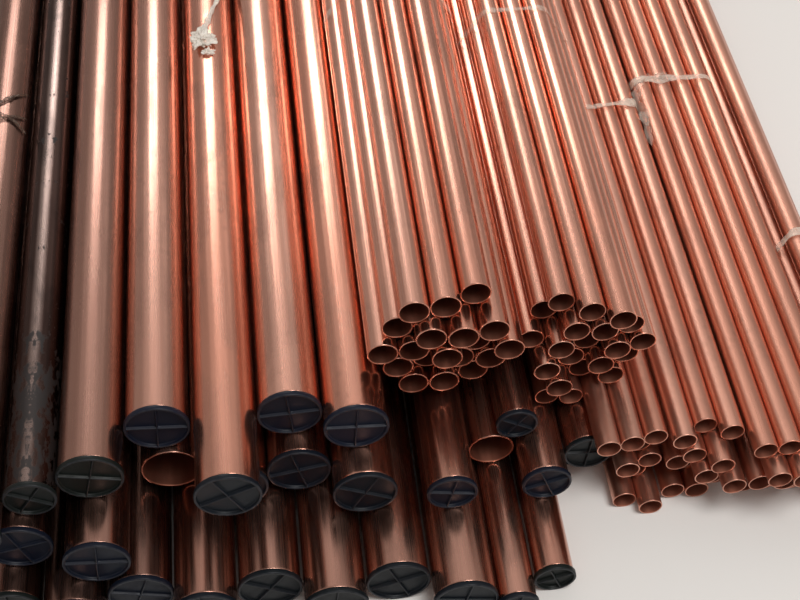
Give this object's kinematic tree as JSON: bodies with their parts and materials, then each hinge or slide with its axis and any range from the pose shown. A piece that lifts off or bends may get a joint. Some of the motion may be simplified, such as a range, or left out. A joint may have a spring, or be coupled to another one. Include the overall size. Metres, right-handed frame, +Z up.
{
  "type": "copper tube stack",
  "caption": "Stack of straight copper tubes of several diameters, lying lengthwise: plugged large, medium and slim tubes, loose small tubes and film-tied bundles, as stock for pipework.",
  "frame": {"origin": "middle of the stack's underside, on the floor that it lies on", "axes": "+Y along the tubes, from their front ends to their rear ends; +X to the right seen from the front; +Z up"},
  "size_m": [0.8391, 3.1994, 0.2346],
  "materials": {
    "copper": "drawn, satin to bright, unlacquered copper",
    "plug": "satin moulded polyethylene",
    "film": "clear twisted stretch film"
  },
  "bodies": {
    "root": {"large_tubes_floor_row": "copper", "large_tubes_middle_row": "copper", "large_tubes_top_row": "copper", "medium_tube_top_row": "copper", "medium_tubes_under_bundles": "copper", "slim_tubes_floor_row": "copper", "slim_tube_under_bundles": "copper", "round_bundle_left_tubes": "copper", "round_bundle_right_tubes": "copper", "loose_small_tubes": "copper", "small_bundle_left_tubes": "copper", "small_bundle_middle_tubes": "copper", "small_bundle_right_tubes": "copper", "large_plugs": "plug", "medium_plugs": "plug", "slim_plugs": "plug", "round_bundle_left_ties": "film", "round_bundle_right_ties": "film", "small_bundle_left_ties": "film", "small_bundle_middle_ties": "film", "small_bundle_right_ties": "film"}
  },
  "joints": []
}
